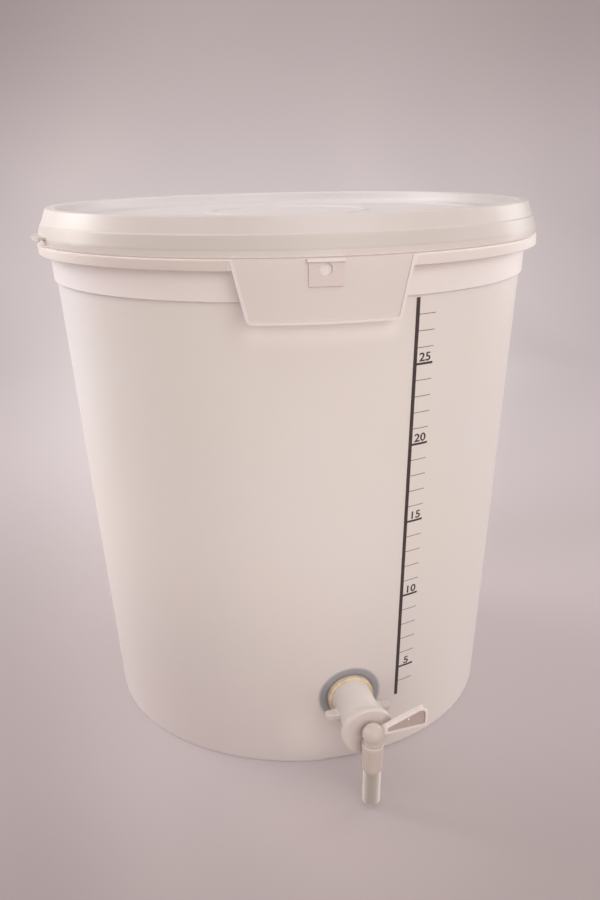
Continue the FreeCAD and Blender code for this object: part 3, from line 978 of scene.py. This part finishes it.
@dataclass(frozen=True)
class BackdropPaper:
    """Pale lilac-grey backdrop with painted light and shade: lighter behind the bucket, darker at the
    floor's front edge and high on the wall, its sides shaded as seen from the front, and a painted shadow
    beside the bucket.
    """

    near_tone: Colour = srgb(190, 176, 175)
    far_tone: Colour = srgb(232, 220, 220)
    high_tone: Colour = srgb(184, 170, 169)
    fold_tone: Colour = srgb(178, 166, 170)
    side_tone: Colour = srgb(146, 131, 134)
    front_tone: Colour = srgb(162, 147, 145)
    even_share: float = 0.76
    eye_across: float = -0.08
    eye_depth: float = -0.685
    eye_lean: float = 0.133
    nearest: float = 0.35
    spout_across: float = 0.026
    spout_depth: float = -0.212
    fibre_depth: float = 0.1 * MM

    def build(self) -> bpy.types.Material:
        """Makes the material.

        Returns:
            The material.
        """
        graph = Graph("backdrop_paper")
        tone = self._side_tones(graph, self._tones(graph))
        fibre = graph.noise(500.0, 2.0)
        paper = graph.node(
            "ShaderNodeBsdfPrincipled",
            {},
            {
                "Base Color": tone,
                "Roughness": 0.8 + fibre * 0.15,
                "Normal": graph.bump(fibre, self.fibre_depth, 0.3),
                "Specular IOR Level": 0.15,
            },
        )
        even = graph.node("ShaderNodeEmission", {}, {"Color": tone, "Strength": 1.0})
        return graph.blend(self._even_share(graph), paper, even)

    def _tones(self, graph: Graph) -> bpy.types.NodeSocket:
        """Painted light and shade from the front edge of the floor to the top of the wall.

        Args:
            graph: The material's nodes.

        Returns:
            The tone at each place.
        """
        depth, height = graph.part(Axis.Y), graph.part(Axis.Z)
        fold = graph.noise(1.6, 2.0, (1.0, 0.35, 1.0))
        return graph.layers(
            self.near_tone,
            # painted light on the far floor, painted shade high on the wall and at the floor's front edge
            (depth.band(-0.25, 0.75), self.far_tone),
            (height.band(-0.1, 0.6) * 0.5 + height.band(0.3, 0.95) * 0.5, self.high_tone),
            (fold.band(0.35, 0.7) * 0.16, self.fold_tone),
            (depth.band(-0.12, -0.34) * 0.55, self.front_tone),
        )

    def _side_tones(self, graph: Graph, tone: bpy.types.NodeSocket) -> bpy.types.NodeSocket:
        """Painted shade: darker left and right, darker upper corners, and a painted shadow of the bucket to
        its right and behind it.

        Args:
            graph: The material's nodes.
            tone: The backdrop's tone.

        Returns:
            The tone with those shades.
        """
        depth, height = graph.part(Axis.Y), graph.part(Axis.Z)
        away = graph.maths("MAXIMUM", depth - self.eye_depth, self.nearest)
        turn = (graph.part(Axis.X) - self.eye_across - away * self.eye_lean) / away
        low = height.band(0.7, 0.2)
        # painted shadow of the bucket on the paper to its right, beside and behind it
        beside = turn.band(0.14, 0.27) * depth.band(0.05, 0.25) * depth.band(1.1, 0.5) * low
        behind = turn.band(0.05, 0.24) * turn.band(0.42, 0.27) * depth.band(0.3, 0.9)
        right = turn.band(0.2, 0.42) * (depth.band(0.0, 1.2) * (low * 0.24 + 0.16) + 0.06)
        corner = turn.band(-0.1, -0.36) * 0.72 + turn.band(0.1, 0.36) * 0.31
        return graph.layers(
            tone,
            (beside * 0.22 + behind * 0.18, self.side_tone),
            (turn.band(-0.2, -0.42) * 0.36 + right, self.side_tone),
            (height.band(0.35, 1.1) * corner, self.side_tone),
        )

    def _even_share(self, graph: Graph) -> Signal:
        """How evenly lit the paper looks: less near the foot and the spout, so that shadows show there.

        Args:
            graph: The material's nodes.

        Returns:
            The even part of the light, from 0 to 1.
        """
        seen = Signal(graph, graph.node("ShaderNodeLightPath", {}, {}).outputs["Is Camera Ray"])
        close = graph.radius().band(0.34, 0.2)
        east, north = graph.part(Axis.X) - self.spout_across, graph.part(Axis.Y) - self.spout_depth
        spout = distance(east, north).band(0.12, 0.04)
        return seen * (self.even_share - close * 0.08 - spout * 0.24)


# Modelling helpers


def clear_selection() -> None:
    """Leaves nothing selected and no mode open."""
    if bpy.context.object is not None and bpy.context.object.mode != "OBJECT":
        bpy.ops.object.mode_set(mode="OBJECT")
    bpy.ops.object.select_all(action="DESELECT")


def make_active(piece: bpy.types.Object) -> None:
    """Selects one object alone.

    Args:
        piece: The object.
    """
    clear_selection()
    piece.select_set(True)
    bpy.context.view_layer.objects.active = piece


def settle(piece: bpy.types.Object, place: Matrix) -> None:
    """Puts a flat piece in place and applies that to its mesh.

    Args:
        piece: The object.
        place: Its place in the part's frame.
    """
    make_active(piece)
    piece.matrix_world = place @ piece.matrix_world
    bpy.ops.object.transform_apply(location=True, rotation=True, scale=True)


def modify(piece: bpy.types.Object, kind: str, **settings: Any) -> None:
    """Adds a modifier and applies it.

    Args:
        piece: The object.
        kind: The modifier's type.
        **settings: Its settings.
    """
    make_active(piece)
    modifier = piece.modifiers.new(kind.lower(), kind)
    for key, value in settings.items():
        setattr(modifier, key, value)
    bpy.ops.object.modifier_apply(modifier=modifier.name)


def join(pieces: Sequence[bpy.types.Object], name: str) -> bpy.types.Object:
    """Joins objects into one.

    Args:
        pieces: The objects.
        name: The joined object's name.

    Returns:
        The joined object.
    """
    make_active(pieces[0])
    for piece in pieces:
        piece.select_set(True)
    bpy.ops.object.join()
    joined = bpy.context.object
    joined.name = name
    joined.data.name = name
    return joined


def dress(piece: bpy.types.Object, material: bpy.types.Material) -> None:
    """Gives an object one material in every slot."""
    piece.data.materials.clear()
    piece.data.materials.append(material)


def redress(node: str, material: bpy.types.Material) -> None:
    """Changes the material of a solid's object.

    Args:
        node: The solid's name.
        material: Its new material.
    """
    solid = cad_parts[node]
    if not solid.material_slots:
        solid.data.materials.append(material)
    for slot in solid.material_slots:
        slot.material = material
    LOG.info("%s wears %s", node, material.name)


# Litre scale


@dataclass
class LitreScale:
    """Printed scale on the wall: one upright line, a tick for each litre and a number for every fifth."""

    azimuth: float = 20.9
    first: int = 4
    last: int = 28
    number_step: int = 5
    line_low: float = 3.05
    line_high: float = 29.0
    line_width: float = 2.8 * MM
    tick_length: float = 12.6 * MM
    thin: float = 0.34 * MM
    thick: float = 1.45 * MM
    tick_overlap: float = 0.1 * MM
    number_size: float = 7.9 * MM
    number_stretch: float = 1.22
    number_bold: float = 0.13 * MM
    number_gap: float = 0.95 * MM
    ink_gap: float = 0.07 * MM
    ink_depth: float = 0.05 * MM
    start_gap: float = 0.4 * MM

    def place(self, offset: float, height: float) -> Matrix:
        """Upright frame touching the wall.

        Args:
            offset: Distance round the wall to the right of the line's right edge.
            height: Height above the foot.

        Returns:
            The frame: X to the right round the wall, Y up along it, Z out of it.
        """
        turn = math.radians(self.azimuth) + offset / SHAPE.radius(height)
        right = Vector((math.cos(turn), math.sin(turn), 0.0))
        level = Vector((math.sin(turn), -math.cos(turn), 0.0))
        rise = (Vector((0.0, 0.0, 1.0)) + level * SHAPE.slope).normalized()
        out = right.cross(rise).normalized()
        spot = level * SHAPE.radius(height) + Vector((0.0, 0.0, height)) + out * self.start_gap
        turned = Matrix((right, rise, out)).transposed().to_4x4()
        return Matrix.Translation(spot) @ turned

    def strip(
        self, name: str, size: tuple[float, float], cells: tuple[int, int], place: Matrix
    ) -> bpy.types.Object:
        """One flat bar of print.

        Args:
            name: Its name.
            size: Its width and height.
            cells: Cells across it and up it.
            place: Where its centre lies.

        Returns:
            The bar.
        """
        clear_selection()
        bpy.ops.mesh.primitive_grid_add(x_subdivisions=cells[0], y_subdivisions=cells[1], size=1.0)
        bar = bpy.context.object
        bar.name = name
        bar.scale = (*size, 1.0)
        bpy.ops.object.transform_apply(location=False, rotation=False, scale=True)
        settle(bar, place)
        return bar

    def line(self) -> bpy.types.Object:
        """Makes the upright line.

        Returns:
            The line.
        """
        low, high = SHAPE.litre_height(self.line_low), SHAPE.litre_height(self.line_high)
        middle = (low + high) / 2.0
        tall = (high - low) * math.sqrt(1.0 + SHAPE.slope**2)
        place = self.place(-self.line_width / 2.0, middle)
        return self.strip("line", (self.line_width, tall), (3, 48), place)

    def has_number(self, litres: int) -> bool:
        """Tells whether a tick has a number."""
        return litres % self.number_step == 0

    def tick(self, litres: int) -> bpy.types.Object:
        """Makes one tick.

        Args:
            litres: The volume that it marks.

        Returns:
            The tick.
        """
        tall = self.thick if self.has_number(litres) else self.thin
        place = self.place(self.tick_length / 2.0 - self.tick_overlap, SHAPE.litre_height(litres))
        width = self.tick_length + 2.0 * self.tick_overlap
        return self.strip(f"tick_{litres}", (width, tall), (12, 1), place)

    def number(self, litres: int) -> bpy.types.Object:
        """Makes one number above its tick.

        Args:
            litres: The volume that it names.

        Returns:
            The number as a mesh.
        """
        clear_selection()
        bpy.ops.object.text_add()
        text = bpy.context.object
        text.data.body = str(litres)
        text.data.size = self.number_size
        text.data.align_x = "CENTER"
        text.data.resolution_u = 6
        text.data.offset = self.number_bold
        bpy.ops.object.convert(target="MESH")
        digits = bpy.context.object
        digits.name = f"number_{litres}"
        digits.scale = (self.number_stretch, 1.0, 1.0)
        bpy.ops.object.transform_apply(location=False, rotation=False, scale=True)
        height = SHAPE.litre_height(litres) + self.thick / 2.0 + self.number_gap
        settle(digits, self.place(self.tick_length / 2.0, height))
        return digits

    def build(self) -> bpy.types.Object:
        """Makes the whole scale and lays it on the wall.

        Returns:
            The scale.
        """
        marks = [self.line()]
        for litres in range(self.first, self.last + 1):
            marks.append(self.tick(litres))
            if self.has_number(litres):
                marks.append(self.number(litres))
        scale = join(marks, "litre_scale")
        modify(
            scale,
            "SHRINKWRAP",
            target=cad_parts["bucket"],
            wrap_method="NEAREST_SURFACEPOINT",
            wrap_mode="ABOVE_SURFACE",
            offset=self.ink_gap,
        )
        modify(scale, "SOLIDIFY", thickness=self.ink_depth, offset=1.0)
        dress(scale, ScaleInk().build())
        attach(scale, "tub")
        LOG.info("litre scale: %d marks, %d faces", len(marks), len(scale.data.polygons))
        return scale


# Assemblies on the solids


@dataclass
class Tub:
    """Bucket with its seals and backnut."""

    plastic: NaturalPlastic = NaturalPlastic()
    gasket: SealRubber = SealRubber("tan_gasket", srgb(223, 206, 178), srgb(205, 185, 153))
    washer: SealRubber = SealRubber("grey_washer", srgb(120, 118, 124), srgb(96, 94, 100))
    nut: MouldedPlastic = MouldedPlastic(
        "nut_plastic", srgb(222, 214, 210), srgb(216, 204, 196), srgb(230, 222, 216), 0.15
    )

    def finish(self) -> None:
        """Dresses the bucket, the seals and the nut."""
        redress("bucket", self.plastic.build())
        redress("outer_gasket", self.gasket.build())
        redress("inner_washer", self.washer.build())
        redress("backnut", self.nut.build())


@dataclass
class Lid:
    """Snap lid."""

    plastic: MouldedPlastic = LidPlastic(
        "lid_plastic", srgb(218, 208, 203), srgb(213, 201, 195), srgb(240, 231, 228), 0.12, 0.4
    )

    def finish(self) -> None:
        """Dresses the lid."""
        redress("lid", self.plastic.build())


@dataclass
class Tap:
    """Tap body and key."""

    plastic: MouldedPlastic = TapPlastic(
        "tap_plastic", srgb(215, 203, 197), srgb(208, 195, 188), srgb(238, 230, 226), 0.08, 0.36, sheen=0.3
    )

    def finish(self) -> None:
        """Dresses the body and the key."""
        material = self.plastic.build()
        redress("tap_body", material)
        redress("tap_key", material)


# Studio


@dataclass(frozen=True)
class SoftBox:
    """A square soft lamp aimed at the bucket."""

    name: str
    spot: Triple
    width: float
    watts: float
    tint: Colour = (1.0, 0.97, 0.95)
    target: Triple = (0.0, 0.0, 0.2)
    spread: float = 180.0

    def build(self) -> bpy.types.Object:
        """Makes the lamp.

        Returns:
            The lamp.
        """
        lamp = bpy.data.lights.new(self.name, "AREA")
        lamp.energy = self.watts
        lamp.size = self.width
        lamp.color = self.tint
        lamp.spread = math.radians(self.spread)
        box = bpy.data.objects.new(self.name, lamp)
        box.location = self.spot
        aim = Vector(self.target) - Vector(self.spot)
        box.rotation_euler = aim.to_track_quat("-Z", "Y").to_euler()
        box.visible_camera = False
        bpy.context.scene.collection.objects.link(box)
        return box


@dataclass
class Studio:
    """Backdrop, lamps, world and camera."""

    back: float = 2.1
    reach: float = 3.2
    bend: float = 0.9
    bend_steps: int = 16
    wall_height: float = 2.6
    world_tint: Colour = (1.0, 0.965, 0.955)
    world_strength: float = 0.72
    lamps: tuple[SoftBox, ...] = (
        SoftBox("lamp_left", (-1.5, 1.0, 0.9), 1.0, 9.2, target=(0.0, 0.0, 0.3), spread=90.0),
        SoftBox("lamp_right", (1.6, 0.8, 0.55), 1.0, 2.8, target=(0.0, 0.0, 0.3), spread=90.0),
        SoftBox("lamp_front", (0.5, -1.95, 1.0), 1.7, 9.3, target=(0.0, 0.0, 0.25), spread=120.0),
        SoftBox("lamp_top", (0.0, -0.2, 1.9), 1.4, 4.6),
    )

    def backdrop(self) -> bpy.types.Object:
        """Makes the floor that sweeps up into the wall.

        Returns:
            The backdrop.
        """
        clear_selection()
        bpy.ops.mesh.primitive_plane_add(size=2.0 * self.reach)
        sheet = bpy.context.object
        sheet.name = "backdrop"
        bpy.ops.object.mode_set(mode="EDIT")
        bpy.ops.mesh.select_all(action="DESELECT")
        bpy.ops.object.mode_set(mode="OBJECT")
        for edge in sheet.data.edges:
            ends = [sheet.data.vertices[i].co.y for i in edge.vertices]
            edge.select = min(ends) > 0.0
        for vertex in sheet.data.vertices:
            vertex.co.y = self.back - self.bend if vertex.co.y > 0.0 else vertex.co.y
            vertex.select = vertex.co.y > 0.0
        bpy.ops.object.mode_set(mode="EDIT")
        bpy.context.tool_settings.mesh_select_mode = (False, True, False)
        run = self.bend * math.pi / 2.0 / self.bend_steps
        for step in range(self.bend_steps):
            turn = math.radians(90.0 * (step + 0.5) / self.bend_steps)
            bpy.ops.mesh.extrude_region_move(
                TRANSFORM_OT_translate={"value": (0.0, run * math.cos(turn), run * math.sin(turn))}
            )
        bpy.ops.mesh.extrude_region_move(TRANSFORM_OT_translate={"value": (0.0, 0.0, self.wall_height)})
        bpy.ops.mesh.select_all(action="SELECT")
        bpy.ops.mesh.normals_make_consistent(inside=False)
        bpy.ops.object.mode_set(mode="OBJECT")
        bpy.context.tool_settings.mesh_select_mode = (True, False, False)
        bpy.ops.object.shade_smooth()
        dress(sheet, BackdropPaper().build())
        return sheet

    def world(self) -> None:
        """Sets an even pale surrounding light."""
        world = bpy.data.worlds.new("studio_world")
        world.use_nodes = True
        shade = world.node_tree.nodes["Background"]
        shade.inputs["Color"].default_value = (*self.world_tint, 1.0)
        shade.inputs["Strength"].default_value = self.world_strength
        bpy.context.scene.world = world

    def camera(self) -> bpy.types.Object:
        """Sets the camera of the photographed view.

        Returns:
            The camera.
        """
        lens = bpy.data.cameras.new("camera")
        lens.sensor_width = CAMERA.sensor
        lens.lens = CAMERA.sensor * CAMERA.focal / CAMERA.photo_side
        lens.shift_x = CAMERA.shift_x
        lens.shift_y = CAMERA.shift_y
        lens.clip_start = CAMERA.nearest
        eye = bpy.data.objects.new("camera", lens)
        right, up = Vector(CAMERA.right), Vector(CAMERA.up)
        turned = Matrix((right, up, right.cross(up))).transposed().to_4x4()
        eye.matrix_world = Matrix.Translation(Vector(CAMERA.spot)) @ turned
        bpy.context.scene.collection.objects.link(eye)
        bpy.context.scene.camera = eye
        return eye

    def build(self) -> None:
        """Makes the whole studio."""
        self.backdrop()
        self.world()
        for lamp in self.lamps:
            lamp.build()
        self.camera()
        bpy.context.scene.view_settings.view_transform = "Standard"
        LOG.info("studio: backdrop, %d lamps and camera", len(self.lamps))


@dataclass(frozen=True)
class CameraPlace:
    """Where the camera stands and how it is turned.

    Its sensor is in millimetres, and its focal length and the photo's long side are in pixels.
    """

    spot: Triple
    right: Triple
    up: Triple
    focal: float
    shift_x: float
    shift_y: float
    photo_side: float = 900.0
    sensor: float = 36.0
    nearest: float = 0.02


CAMERA = CameraPlace(
    spot=(-0.0794563, -0.6854134, 0.4284411),
    right=(0.990464, -0.136659, -0.017461),
    up=(0.065202, 0.35333, 0.933224),
    focal=854.919,
    shift_x=-0.00666,
    shift_y=0.04179,
)


def main() -> None:
    """Builds and dresses everything in order."""
    logging.basicConfig(level=logging.INFO, format="%(name)s: %(message)s")
    Studio().build()
    Tub().finish()
    Lid().finish()
    Tap().finish()
    LitreScale().build()
    clear_selection()
    LOG.info("sizes written")


if __name__ == "__main__":
    main()
